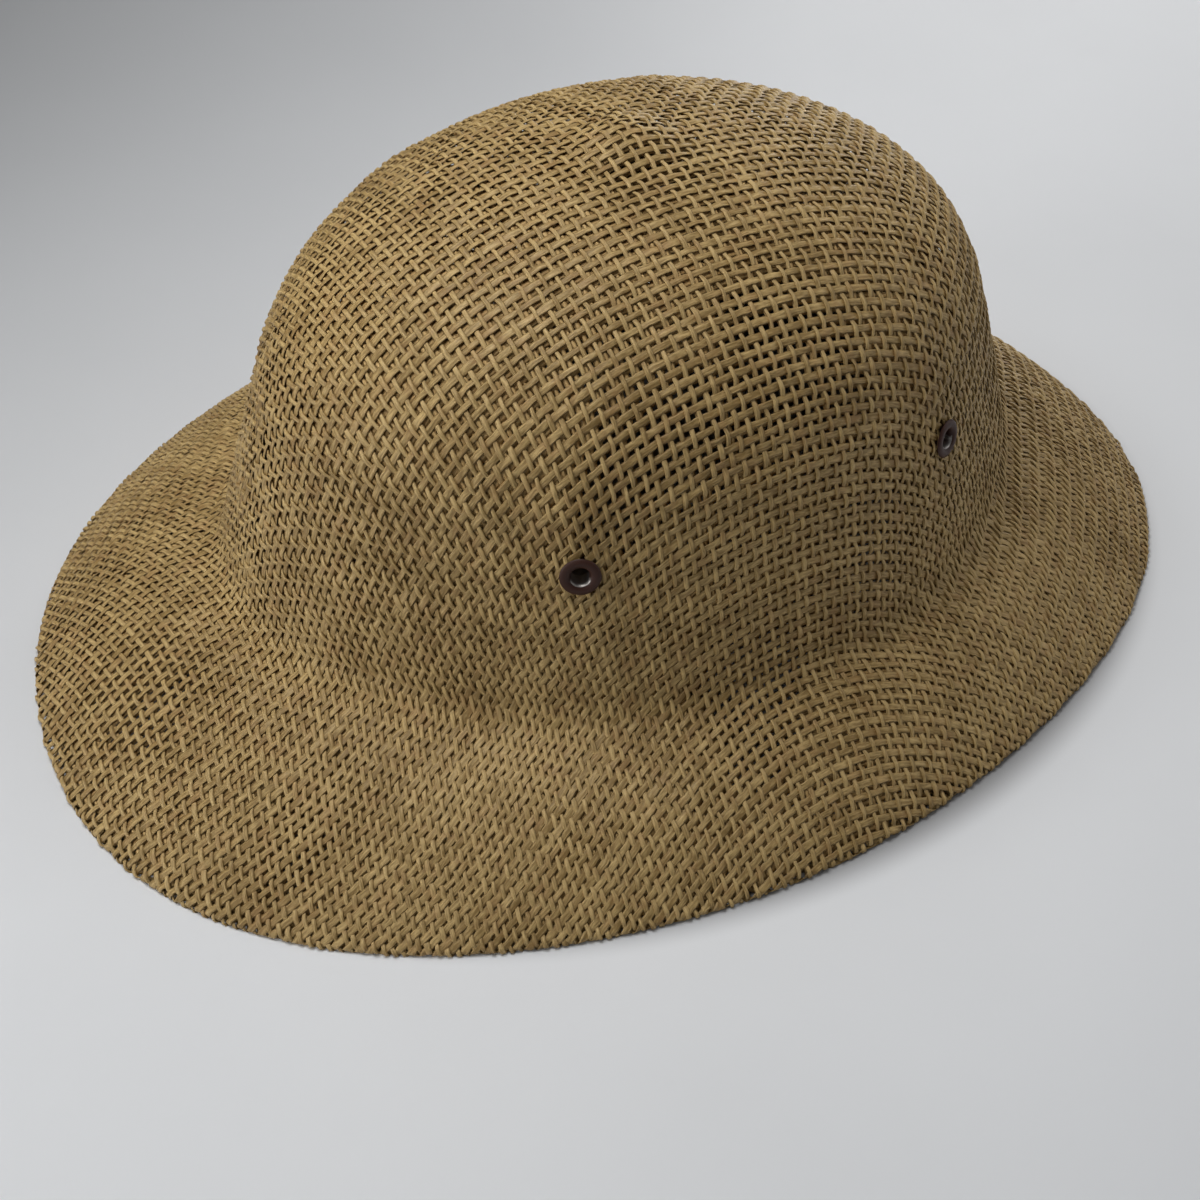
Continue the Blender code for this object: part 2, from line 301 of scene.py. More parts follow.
def lay(out, turn, depth):
    """Points and normals a depth under the hat's face: past the edge they roll round the hem and back."""
    limit = around(reach, turn)
    past = out - limit
    roll = FOLD_RADIUS - depth
    angle = np.clip(past / roll, 0, np.pi)
    under = np.maximum(past - np.pi * roll, 0)
    row = np.where(past > 0, limit - under, out) / limit * (ROWS - 1)
    point = between(surface, row, turn)
    normal = between(normals, row, turn)
    side = np.where(under > 0, -1.0, 1.0)[..., None]
    flat = point - normal * np.where(under > 0, 2 * FOLD_RADIUS - depth, depth)[..., None]
    outward = around(edge_out, turn)
    ray = normal * np.cos(angle)[..., None] + outward * np.sin(angle)[..., None]
    rolled = around(edge_centre, turn) + ray * roll
    bent = ((past > 0) & (under <= 0))[..., None]
    return np.where(bent, rolled, flat), np.where(bent, ray, normal * side)


# %% [markdown]
# ## How the mat drapes over the block
#
# On the loom the strands cross at right angles. Blocking doesn't stretch the paper, so the spacing along each
# strand stays almost what it was, and only the angle between the two sets of strands changes: square at the
# middle of the front and of each side, and narrow diamonds at the four corners. The table says, at rings
# every 40 mm out from the top, how much of that distance the mat spends across the hat and along it, and how
# much it is sheared towards the corners. Between rings a smooth curve is used.

# %% Drape of the mat
WARP_PITCH = 2.82
WEFT_PITCH = 3.26
DRAPE_STEP = 40.0
DRAPE = (
    {"across": 1.04, "corner_across": 0.00, "along": 0.95, "corner_along": 0.00},
    {"across": 1.04, "corner_across": 0.00, "along": 0.96, "corner_along": 0.00},
    {"across": 1.01, "corner_across": 0.01, "along": 0.95, "corner_along": -0.02},
    {"across": 1.00, "corner_across": 0.04, "along": 0.93, "corner_along": -0.07},
    {"across": 1.01, "corner_across": 0.06, "along": 0.91, "corner_along": -0.09},
    {"across": 0.97, "corner_across": 0.10, "along": 0.94, "corner_along": -0.08},
    {"across": 0.95, "corner_across": 0.08, "along": 0.94, "corner_along": -0.06},
)


def drape(column, out):
    """Smooth curve through a column of the drape table."""
    values = [row[column] for row in DRAPE]
    values = np.array([2 * values[0] - values[1], *values, 2 * values[-1] - values[-2]])
    low = np.clip((out / DRAPE_STEP).astype(int), 0, len(DRAPE) - 2)
    share = out / DRAPE_STEP - low
    before, start, end, after = (values[low + step] for step in range(4))
    bend = 3 * (start - end) + after - before
    curve = 2 * before - 5 * start + 4 * end - after + share * bend
    return start + 0.5 * share * (end - before + share * curve)


def polar(east, north):
    """Distance out from the top and turn of a place in the flat chart of the hat."""
    ratio = CREASE_HALF_LENGTH / CREASE_HALF_WIDTH
    return np.hypot(east, north), np.arctan2(north / ratio, east)


def mat_inside(out, bearing):
    """Mat coordinates at a distance out, in a direction of the chart."""
    across = drape("across", out) * np.cos(bearing) + drape("corner_across", out) * np.cos(3 * bearing)
    along = drape("along", out) * np.sin(bearing) + drape("corner_along", out) * np.sin(3 * bearing)
    return out * across, out * along


def mat(east, north):
    """Mat coordinates of a chart place. Past the brim edge the mat goes straight on."""
    out, turn = polar(east, north)
    bearing = np.arctan2(north, east)
    inside = np.minimum(out, around(reach, turn))
    across, along = mat_inside(inside, bearing)
    across_before, along_before = mat_inside(inside - 1, bearing)
    rest = out - inside
    return across + rest * (across - across_before), along + rest * (along - along_before)


# %% [markdown]
# The strands need the opposite: the chart place of a given crossing of the lattice. It is found by Newton's
# method for all crossings at once, growing the lattice from the top outwards so that each step starts close
# to its goal.

# %% Lattice crossings
WARPS_EACH_WAY = 92
WEFTS_EACH_WAY = 74
GROWTH_STEPS = 16
NEWTON_STEPS = 3
NUDGE = 0.01
LONGEST_STEP = 12.0
LEAST_SCALE = 0.05


def settle(across, along):
    """Chart places at which the mat has these coordinates."""
    east = across * 0
    north = along * 0
    grown = 0.0
    for share in np.linspace(0, 1, GROWTH_STEPS + 1)[1:]:
        east = east * share / grown if grown else across * share
        north = north * share / grown if grown else along * share
        grown = share
        for _ in range(NEWTON_STEPS):
            x, y = mat(east, north)
            x_east, y_east = mat(east + NUDGE, north)
            x_north, y_north = mat(east, north + NUDGE)
            xe, ye = (x_east - x) / NUDGE, (y_east - y) / NUDGE
            xn, yn = (x_north - x) / NUDGE, (y_north - y) / NUDGE
            scale = xe * yn - xn * ye
            scale = np.where(np.abs(scale) < LEAST_SCALE, LEAST_SCALE, scale)
            miss_x, miss_y = across * share - x, along * share - y
            east = east + np.clip((yn * miss_x - xn * miss_y) / scale, -LONGEST_STEP, LONGEST_STEP)
            north = north + np.clip((xe * miss_y - ye * miss_x) / scale, -LONGEST_STEP, LONGEST_STEP)
    return east, north


warp_numbers = np.arange(-WARPS_EACH_WAY, WARPS_EACH_WAY + 1)
weft_numbers = np.arange(-WEFTS_EACH_WAY, WEFTS_EACH_WAY + 1)
goal_along, goal_across = np.meshgrid(warp_numbers * WARP_PITCH, weft_numbers * WEFT_PITCH, indexing="ij")
crossings = np.stack(settle(goal_across, goal_along), axis=-1)
miss = np.hypot(*(found - goal for found, goal in zip(mat(*np.moveaxis(crossings, -1, 0)),
                                                      (goal_across, goal_along))))
crossing_out, crossing_turn = polar(crossings[..., 0], crossings[..., 1])
on_hat = crossing_out < around(reach, crossing_turn)
print("crossings on the hat:", int(on_hat.sum()), "largest miss:", miss[on_hat].max())


def chart(warp, weft):
    """Chart place of a fractional place in the lattice."""
    row = np.clip(warp + WARPS_EACH_WAY, 0, 2 * WARPS_EACH_WAY - JUST_INSIDE)
    column = np.clip(weft + WEFTS_EACH_WAY, 0, 2 * WEFTS_EACH_WAY - JUST_INSIDE)
    r, c = row.astype(int), column.astype(int)
    down, over = (row - r)[..., None], (column - c)[..., None]
    upper = crossings[r, c] * (1 - over) + crossings[r, c + 1] * over
    lower = crossings[r + 1, c] * (1 - over) + crossings[r + 1, c + 1] * over
    place = upper * (1 - down) + lower * down
    return place[..., 0], place[..., 1]


# %% [markdown]
# ## The strands
#
# A strand is a flat tube: a ring of a few corners, swept along its path. In the outer layer two rings at each
# crossing, one on either side of the strand that it crosses, give a flat top or a flat dip there and a slope
# between, which is just what a stiff paper strand does. The inner layer only shows through the holes, so it
# has one ring at each crossing, and it is pressed flatter. Warps are narrow, round and pale, wefts are wider,
# flatter and browner. No two strands are alike: each has its own width and tone, swells and narrows along its
# length, and wanders a little. How strongly they differ was chosen.
#
# Round the eyelets the strands were pushed aside by the punch, so near one their places move outwards from
# its middle.

# %% Strand sizes
OUTER_DEPTH = 0.5
INNER_DEPTH = 1.28
HEM_REACH = 9.5
INNER_STOP = -1.6
RING_SPREAD = 0.22
FLAT_TOP = 1.35
SECTION_OUTER = ((-1.0, -0.1), (0.0, -1.0), (1.0, -0.1), (0.6, 0.85), (-0.6, 0.85))
SECTION_INNER = ((-1.0, 0.0), (0.0, -1.0), (1.0, 0.0), (0.0, 1.0))
KINDS = {
    "warp": {
        "half_width": 0.66, "inner_half_width": 0.68, "half_thickness": 0.30, "lift": 0.38, "tone": 0.74,
    },
    "weft": {
        "half_width": 0.96, "inner_half_width": 1.02, "half_thickness": 0.14, "lift": 0.10, "tone": 0.36,
    },
}
INNER_FLATTER = 0.7
WIDTH_SPREAD = 0.09
TONE_SPREAD = 0.20
SWELL = 0.10
CRINKLE = 0.05
TWIST = 0.32
WANDER = 0.05
JITTER = 0.045
WANDER_LENGTHS = (9, 22)
SWELL_LENGTHS = (2.5, 8)
TWIST_LENGTHS = (4, 11)
TONE_LENGTHS = (4, 30)
PUSHED_ASIDE = 3.0
PUSHED_WITHIN = 25
SAME_WALL = 12
CUT_WITHIN = 2.6
FAR_AWAY = 1e3
BEND_STARTS = -1.2
BEND_ENDS = 4.6
BEND_RINGS = 2
FEWEST_RINGS = 3
FIBRE_SHIFT = 500
WAVES_ADDED = 3
NO_ZERO_DISTANCE = 1e-6
NO_ZERO_LENGTH = 1e-9
SEED = 11

rng = np.random.default_rng(SEED)


def slow_wave(places, shortest, longest):
    """Gentle random wave along a strand, from -1 to 1."""
    total = np.zeros_like(places)
    for _ in range(WAVES_ADDED):
        length = rng.uniform(shortest, longest)
        total += np.sin(2 * np.pi * places / length + rng.uniform(0, 2 * np.pi))
    return total / WAVES_ADDED


# %% Eyelet places
def eyelet_place(turn_degrees):
    """Centre of an eyelet on the hat's face, with the frame there: sideways, up the wall and outwards."""
    turn = np.array([math.radians(turn_degrees)])
    column = between(surface, np.arange(ROWS, dtype=float), np.full(ROWS, turn[0]))
    row = np.interp(-EYELET_HEIGHT, -column[:, 2], np.arange(ROWS))
    centre = between(surface, np.array([row]), turn)[0]
    normal = between(normals, np.array([row]), turn)[0]
    side = np.cross((0, 0, 1), normal)
    side /= np.linalg.norm(side)
    return centre, side, np.cross(normal, side), normal


eyelet_places = {eyelet["name"]: eyelet_place(eyelet["turn"]) for eyelet in EYELETS}


def make_room(points):
    """Moves strands aside from the eyelets. Also gives how far each point was from the nearest one."""
    nearest = np.full(len(points), FAR_AWAY)
    for centre, _, _, normal in eyelet_places.values():
        offset = points - centre
        height = offset @ normal
        flat = offset - height[:, None] * normal
        distance = np.linalg.norm(flat, axis=1) + NO_ZERO_DISTANCE
        near = np.abs(height) < SAME_WALL
        pushed = (distance**3 + PUSHED_ASIDE**3) ** (1 / 3)
        share = np.where(near & (distance < PUSHED_WITHIN), pushed / distance, 1.0)
        points = points + flat * (share - 1)[:, None]
        nearest = np.where(near, np.minimum(nearest, distance), nearest)
    return points, nearest


# %% [markdown]
# The inner layer is the same mat a second time. It was laid down without lining up the holes, so its lattice
# is usually off by about half a cell. The table lists the places where it is different: by how much the inner
# warps and wefts are off there, in cells, and how far the patch reaches. Where both are near 0 the eye sees
# right through both layers into the dark hat; elsewhere a strand of the inner layer closes each hole. That
# makes the cloudy bands. The patches on the photographed side follow the photograph roughly, the others are
# guessed.

# %% Second layer's offset
USUAL_OFFSET = 0.45
PATCHES = (
    {"warp": 0, "weft": 4, "reach": 10, "warps_off": 0.05, "wefts_off": 0.05},
    {"warp": 3, "weft": 23, "reach": 12, "warps_off": 0.00, "wefts_off": 0.00},
    {"warp": -17, "weft": 26, "reach": 7, "warps_off": 0.00, "wefts_off": 0.00},
    {"warp": -9, "weft": 25, "reach": 8, "warps_off": 0.00, "wefts_off": 0.00},
    {"warp": -14, "weft": 17, "reach": 9, "warps_off": 0.50, "wefts_off": 0.10},
    {"warp": -20, "weft": 10, "reach": 9, "warps_off": 0.30, "wefts_off": 0.50},
    {"warp": -24, "weft": -12, "reach": 18, "warps_off": 0.50, "wefts_off": 0.15},
    {"warp": -38, "weft": -36, "reach": 16, "warps_off": 0.35, "wefts_off": 0.50},
    {"warp": -46, "weft": 11, "reach": 12, "warps_off": 0.00, "wefts_off": 0.05},
    {"warp": -63, "weft": 24, "reach": 13, "warps_off": 0.00, "wefts_off": 0.00},
    {"warp": -75, "weft": 2, "reach": 14, "warps_off": 0.00, "wefts_off": 0.00},
    {"warp": -7, "weft": 52, "reach": 10, "warps_off": 0.00, "wefts_off": 0.00},
    {"warp": 12, "weft": 40, "reach": 9, "warps_off": 0.10, "wefts_off": 0.00},
    {"warp": 31, "weft": 31, "reach": 13, "warps_off": 0.50, "wefts_off": 0.20},
    {"warp": 30, "weft": 8, "reach": 13, "warps_off": 0.00, "wefts_off": 0.05},
    {"warp": 34, "weft": 54, "reach": 14, "warps_off": 0.25, "wefts_off": 0.50},
    {"warp": 52, "weft": -8, "reach": 14, "warps_off": 0.00, "wefts_off": 0.00},
    {"warp": 20, "weft": -26, "reach": 15, "warps_off": 0.50, "wefts_off": 0.30},
    {"warp": -50, "weft": -20, "reach": 12, "warps_off": 0.05, "wefts_off": 0.05},
    {"warp": 2, "weft": -52, "reach": 12, "warps_off": 0.00, "wefts_off": 0.00},
    {"warp": 44, "weft": -44, "reach": 14, "warps_off": 0.50, "wefts_off": 0.40},
)


def drift(warp, weft):
    """Place in the outer lattice of a place in the inner lattice."""
    shares = [bell(np.hypot(warp - patch["warp"], weft - patch["weft"]), patch["reach"]) for patch in PATCHES]
    covered = sum(shares)
    rest = USUAL_OFFSET * (1 - np.minimum(covered, 1))
    total = np.maximum(covered, 1)
    along = rest + sum(share * patch["warps_off"] for share, patch in zip(shares, PATCHES)) / total
    across = rest + sum(share * patch["wefts_off"] for share, patch in zip(shares, PATCHES)) / total
    return warp + along, weft + across


# %% Path of one strand
def path(kind, number, steps, inner):
    """Chart places along one strand at fractional crossings with the other set."""
    line = number + JITTER * rng.normal() + WANDER * slow_wave(steps, *WANDER_LENGTHS)
    warp, weft = (line, steps) if kind == "warp" else (steps, line)
    if inner:
        warp, weft = drift(warp, weft)
    return polar(*chart(warp, weft))


def tube(kind, number, steps, out, turn, inner):
    """Rings of one strand as an array (rings, corners, 3), with each ring's distance to an eyelet."""
    depth = INNER_DEPTH if inner else OUTER_DEPTH
    centre, normal = lay(out, turn, depth)
    centre, nearest = make_room(centre)
    tangent = np.gradient(centre, axis=0)
    tangent /= np.linalg.norm(tangent, axis=1, keepdims=True) + NO_ZERO_LENGTH
    side = np.cross(normal, tangent)
    side /= np.linalg.norm(side, axis=1, keepdims=True) + NO_ZERO_LENGTH
    sizes = KINDS[kind]
    sign = 1 if kind == "warp" else -1
    height = sizes["lift"] * (INNER_FLATTER if inner else 1)
    lift = sign * height * np.clip(FLAT_TOP * np.cos(np.pi * (steps + number)), -1, 1)
    swell = 1 + SWELL * slow_wave(steps, *SWELL_LENGTHS) + WIDTH_SPREAD * rng.normal()
    width = sizes["inner_half_width" if inner else "half_width"] * swell
    width = width * (1 + CRINKLE * rng.normal(size=len(steps)))
    thick = sizes["half_thickness"] * (2 - swell)
    centre = centre + side * (CRINKLE * rng.normal(size=len(steps)))[:, None]
    twist = (TWIST * slow_wave(steps, *TWIST_LENGTHS))[:, None]
    wide = side * np.cos(twist) + normal * np.sin(twist)
    high = normal * np.cos(twist) - side * np.sin(twist)
    section = np.array(SECTION_INNER if inner else SECTION_OUTER)
    across = wide[:, None] * (width[:, None] * section[:, 0])[..., None]
    upward = high[:, None] * (lift[:, None] + thick[:, None] * section[:, 1])[..., None]
    rings = centre[:, None] + across + upward
    rings[..., 2] = np.maximum(rings[..., 2], 0.0)
    return rings, nearest


# %% [markdown]
# A whole set of strands becomes one mesh, made straight from arrays: the ring corners are the vertices, and
# each pair of neighbouring rings is joined by a belt of four-sided faces, with a face closing each end. Every
# strand is its own closed tube. Two more things are stored for the material: a UV map that runs along and
# round each strand, and a tone that says how pale or brown it is.

# %% Mesh of a set of strands
def strands(name, kind, numbers, inner):
    """One piece of many strands."""
    other = WEFTS_EACH_WAY if kind == "warp" else WARPS_EACH_WAY
    base = np.arange(-other, other + 1)
    last_out = INNER_STOP if inner else HEM_REACH
    vertices, faces, starts, uvs, tones, smooth = [], [], [], [], [], []
    vertex_total = loop_total = 0
    for number in numbers:
        steps = middles = base + JITTER * rng.normal(size=len(base))
        if not inner:
            steps = np.ravel(np.stack([middles - RING_SPREAD, middles + RING_SPREAD], axis=1))
        state = rng.bit_generator.state
        out, turn = path(kind, number, steps, inner)
        past = out - around(reach, turn)
        if not inner:
            bend = (past > BEND_STARTS) & (past < BEND_ENDS)
            extra = []
            for index in np.flatnonzero(bend[:-1] | bend[1:]):
                extra += list(np.linspace(steps[index], steps[index + 1], BEND_RINGS + 2)[1:-1])
            steps = np.sort(np.concatenate([steps, extra]))
            rng.bit_generator.state = state
            out, turn = path(kind, number, steps, inner)
            past = out - around(reach, turn)
        rings, nearest = tube(kind, number, steps, out, turn, inner)
        tone = KINDS[kind]["tone"] + TONE_SPREAD * (rng.normal() + slow_wave(steps, *TONE_LENGTHS))
        tone = np.clip(tone, 0, 1)
        good = (past < last_out) & (nearest > CUT_WITHIN)
        edges = np.flatnonzero(np.diff(np.concatenate([[0], good.astype(int), [0]])))
        for begin, end in zip(edges[::2], edges[1::2]):
            count = end - begin
            if count < FEWEST_RINGS:
                continue
            part = rings[begin:end]
            corners = part.shape[1]
            walk = np.zeros(count)
            walk[1:] = np.cumsum(np.linalg.norm(np.diff(part.mean(axis=1), axis=0), axis=1))
            walk += rng.uniform(0, FIBRE_SHIFT)
            ids = vertex_total + np.arange(count * corners).reshape(count, corners)
            turned = np.roll(ids, -1, axis=1)
            belt = np.stack([ids[:-1], turned[:-1], turned[1:], ids[1:]], axis=-1).reshape(-1, 4)
            faces.append(belt.ravel())
            starts.append(loop_total + 4 * np.arange(len(belt)))
            loop_total += belt.size
            low = np.repeat(walk[:-1], corners)
            high = np.repeat(walk[1:], corners)
            left = np.tile(np.arange(corners) / corners, count - 1)
            right = left + 1 / corners
            uvs.append(np.stack([low, left, low, right, high, right, high, left], axis=1).ravel())
            smooth.append(np.ones(len(belt), bool))
            for cap in (ids[0][::-1], ids[-1]):
                faces.append(cap)
                starts.append(np.array([loop_total]))
                loop_total += corners
                uvs.append(np.tile((walk[0], 0.5), corners))
                smooth.append(np.zeros(1, bool))
            vertices.append(part.reshape(-1, 3))
            tones.append(np.repeat(tone[begin:end], corners))
            vertex_total += count * corners
    return build_mesh(name, vertices, faces, starts, uvs, tones, smooth)


def build_mesh(name, vertices, faces, starts, uvs, tones, smooth):
    points = np.concatenate(vertices) * MM
    loops = np.concatenate(faces).astype(np.int32)
    mesh = bpy.data.meshes.new(name)
    mesh.vertices.add(len(points))
    mesh.vertices.foreach_set("co", points.astype(np.float32).ravel())
    mesh.loops.add(len(loops))
    mesh.loops.foreach_set("vertex_index", loops)
    first = np.concatenate(starts).astype(np.int32)
    mesh.polygons.add(len(first))
    mesh.polygons.foreach_set("loop_start", first)
    mesh.polygons.foreach_set("use_smooth", np.concatenate(smooth))
    mesh.update(calc_edges=True)
    layer = mesh.uv_layers.new(name="along_strand")
    layer.data.foreach_set("uv", np.concatenate(uvs).astype(np.float32))
    attribute = mesh.attributes.new("tone", "FLOAT", "POINT")
    attribute.data.foreach_set("value", np.concatenate(tones).astype(np.float32))
    piece = bpy.data.objects.new(name, mesh)
    bpy.context.scene.collection.objects.link(piece)
    triangles = len(loops) - 2 * len(first)
    print(name, triangles, "triangles")
    return piece


# %% [markdown]
# Now both layers are woven. Each set of outer strands is split into two pieces, which keeps every piece under
# 200,000 triangles.

# %% Weaving
outer_pieces = [
    strands("outer_warps_front", "warp", warp_numbers[warp_numbers < 0], False),
    strands("outer_warps_back", "warp", warp_numbers[warp_numbers >= 0], False),
    strands("outer_wefts_left", "weft", weft_numbers[weft_numbers < 0], False),
    strands("outer_wefts_right", "weft", weft_numbers[weft_numbers >= 0], False),
]
inner_pieces = [
    strands("inner_warps", "warp", warp_numbers, True),
    strands("inner_wefts", "weft", weft_numbers, True),
]

# %% [markdown]
# ## Paper straw
#
# The strands are twisted paper, dyed a tan that is never even: some strands are pale, some have gone brown,
# and a few stretches are reddish. Fine fibres run along each strand, so the streaks are stretched in the UV
# map's first direction. Both layers use the same fibre pattern with their own colours, so the pattern is a
# node group that puts out masks, and the shader stays in each material. The inner layer's colours are paler
# than the outer's: that is painted light, for the light that reaches the inner layer through and between the
# outer strands.

# %% Fibre group
FIBRE_DETAIL = 3.0
FIBRE_ROUGHNESS = 0.6
PATCH_SCALE = 55.0
SPOT_SCALE = 210.0
TONE_SHARE = 0.50
STREAK_SHARE = 2.20
PATCH_SHARE = 0.50
RED_FROM = 0.52
RED_TO = 0.70


def fibre_group():
    group = bpy.data.node_groups.new("straw_fibre", "ShaderNodeTree")
    for socket in ("Streaks along", "Streaks round"):
        group.interface.new_socket(socket, in_out="INPUT", socket_type="NodeSocketFloat")
    for socket in ("Tone", "Red", "Height"):
        group.interface.new_socket(socket, in_out="OUTPUT", socket_type="NodeSocketFloat")
    nodes, links = group.nodes, group.links
    given = nodes.new("NodeGroupInput")
    result = nodes.new("NodeGroupOutput")
    uv = nodes.new("ShaderNodeUVMap")
    uv.uv_map = "along_strand"
    scale = nodes.new("ShaderNodeCombineXYZ")
    links.new(given.outputs["Streaks along"], scale.inputs["X"])
    links.new(given.outputs["Streaks round"], scale.inputs["Y"])
    stretched = nodes.new("ShaderNodeVectorMath")
    stretched.operation = "MULTIPLY"
    links.new(uv.outputs["UV"], stretched.inputs[0])
    links.new(scale.outputs["Vector"], stretched.inputs[1])
    streaks = nodes.new("ShaderNodeTexNoise")
    streaks.inputs["Scale"].default_value = 1.0
    streaks.inputs["Detail"].default_value = FIBRE_DETAIL
    streaks.inputs["Roughness"].default_value = FIBRE_ROUGHNESS
    links.new(stretched.outputs["Vector"], streaks.inputs["Vector"])
    tone = nodes.new("ShaderNodeAttribute")
    tone.attribute_name = "tone"
    coordinates = nodes.new("ShaderNodeTexCoord")
    patches = nodes.new("ShaderNodeTexNoise")
    patches.inputs["Scale"].default_value = PATCH_SCALE
    patches.inputs["Detail"].default_value = FIBRE_DETAIL
    links.new(coordinates.outputs["Object"], patches.inputs["Vector"])
    spots = nodes.new("ShaderNodeTexNoise")
    spots.inputs["Scale"].default_value = SPOT_SCALE
    spots.inputs["Detail"].default_value = 1.0
    links.new(coordinates.outputs["Object"], spots.inputs["Vector"])
    parts = (
        (tone.outputs["Fac"], TONE_SHARE),
        (streaks.outputs["Fac"], STREAK_SHARE),
        (patches.outputs["Fac"], PATCH_SHARE),
    )
    total = None
    for output, share in parts:
        weighed = nodes.new("ShaderNodeMath")
        weighed.operation = "MULTIPLY_ADD"
        weighed.inputs[1].default_value = share
        weighed.inputs[2].default_value = 0.5 - 0.5 * sum(share for _, share in parts)
        links.new(output, weighed.inputs[0])
        if total is not None:
            links.new(total, weighed.inputs[2])
        total = weighed.outputs["Value"]
    links.new(total, result.inputs["Tone"])
    red = nodes.new("ShaderNodeMapRange")
    red.inputs["From Min"].default_value = RED_FROM
    red.inputs["From Max"].default_value = RED_TO
    links.new(spots.outputs["Fac"], red.inputs["Value"])
    links.new(red.outputs["Result"], result.inputs["Red"])
    links.new(streaks.outputs["Fac"], result.inputs["Height"])
    return group


FIBRES = fibre_group()


# %% Straw materials
STREAKS_ALONG = 0.30
STREAKS_ROUND = 9.0
BROWN_BELOW = 0.18
PALE_ABOVE = 0.82
RED_AMOUNT = 0.30
GLOSS_SWING = 0.12
FIBRE_BUMP = 0.9
FIBRE_DEPTH = 0.0003
STRAW_SPECULAR = 0.4


def straw(name, pale, brown, red, roughness):
    material = bpy.data.materials.new(name)
    material.use_nodes = True
    nodes, links = material.node_tree.nodes, material.node_tree.links
    shader = nodes["Principled BSDF"]
    fibres = nodes.new("ShaderNodeGroup")
    fibres.node_tree = FIBRES
    fibres.inputs["Streaks along"].default_value = STREAKS_ALONG
    fibres.inputs["Streaks round"].default_value = STREAKS_ROUND
    ramp = nodes.new("ShaderNodeValToRGB")
    ramp.color_ramp.elements[0].position = BROWN_BELOW
    ramp.color_ramp.elements[0].color = (*brown, 1)
    ramp.color_ramp.elements[1].position = PALE_ABOVE
    ramp.color_ramp.elements[1].color = (*pale, 1)
    links.new(fibres.outputs["Tone"], ramp.inputs["Fac"])
    redden = nodes.new("ShaderNodeMix")
    redden.data_type = "RGBA"
    redden.inputs["B"].default_value = (*red, 1)
    links.new(ramp.outputs["Color"], redden.inputs["A"])
    amount = nodes.new("ShaderNodeMath")
    amount.operation = "MULTIPLY"
    amount.inputs[1].default_value = RED_AMOUNT
    links.new(fibres.outputs["Red"], amount.inputs[0])
    links.new(amount.outputs["Value"], redden.inputs["Factor"])
    links.new(redden.outputs["Result"], shader.inputs["Base Color"])
    rough = nodes.new("ShaderNodeMapRange")
    rough.inputs["To Min"].default_value = roughness + GLOSS_SWING
    rough.inputs["To Max"].default_value = roughness - GLOSS_SWING
    links.new(fibres.outputs["Height"], rough.inputs["Value"])
    links.new(rough.outputs["Result"], shader.inputs["Roughness"])
    bump = nodes.new("ShaderNodeBump")
    bump.inputs["Strength"].default_value = FIBRE_BUMP
    bump.inputs["Distance"].default_value = FIBRE_DEPTH
    links.new(fibres.outputs["Height"], bump.inputs["Height"])
    links.new(bump.outputs["Normal"], shader.inputs["Normal"])
    shader.inputs["Specular IOR Level"].default_value = STRAW_SPECULAR
    return material


outer_straw = straw("straw_outer", (0.55, 0.385, 0.160), (0.26, 0.162, 0.052), (0.34, 0.18, 0.068), 0.52)
# The inner straw is painted paler than the outer: painted light for what reaches it through the outer layer.
inner_straw_painted_paler = straw("straw_inner", (0.62, 0.420, 0.172), (0.38, 0.232, 0.080), (0.46, 0.27, 0.100), 0.60)
for piece in outer_pieces:
    piece.data.materials.append(outer_straw)
    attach(piece, BODY)
    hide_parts("outer_layer")
for piece in inner_pieces:
    piece.data.materials.append(inner_straw_painted_paler)
    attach(piece, BODY)
    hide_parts("inner_layer")

# %% [markdown]
# ## Eyelets
#
# Each vent eyelet is a thin metal tube with a painted flange outside. How it ends inside the hat doesn't
# show, and the rolled rim there is a guess. Turned pieces like this are made by hand from one circle: a
# circle just inside the tube's mouth is extruded again and again, and each new ring is scaled and moved to
# the next radius and height of the section. The section is closed when the last ring meets the first, so the
# doubles are merged at the end.

# %% Eyelet section
EYELET_SIDES = 40
MERGE_WITHIN = 0.00001
SMOOTH_BELOW = math.radians(50)
EYELET_SECTION = (
    {"radius": 2.30, "height": -0.90},
    {"radius": 2.38, "height": -0.25},
    {"radius": 2.60, "height": 0.22},
    {"radius": 3.00, "height": 0.58},
    {"radius": 3.60, "height": 0.80},
    {"radius": 4.25, "height": 0.78},
    {"radius": 4.75, "height": 0.60},
    {"radius": 5.05, "height": 0.38},
    {"radius": 5.15, "height": 0.18},
    {"radius": 5.08, "height": 0.05},
    {"radius": 4.80, "height": 0.00},
    {"radius": 3.25, "height": 0.00},
    {"radius": 3.20, "height": -4.00},
    {"radius": 3.45, "height": -4.30},
    {"radius": 3.90, "height": -4.32},
    {"radius": 4.10, "height": -4.10},
    {"radius": 4.10, "height": -4.45},
    {"radius": 3.60, "height": -4.62},
    {"radius": 3.00, "height": -4.55},
    {"radius": 2.35, "height": -4.20},
)


def select_none():
    if bpy.context.mode != "OBJECT":
        bpy.ops.object.mode_set(mode="OBJECT")
    bpy.ops.object.select_all(action="DESELECT")


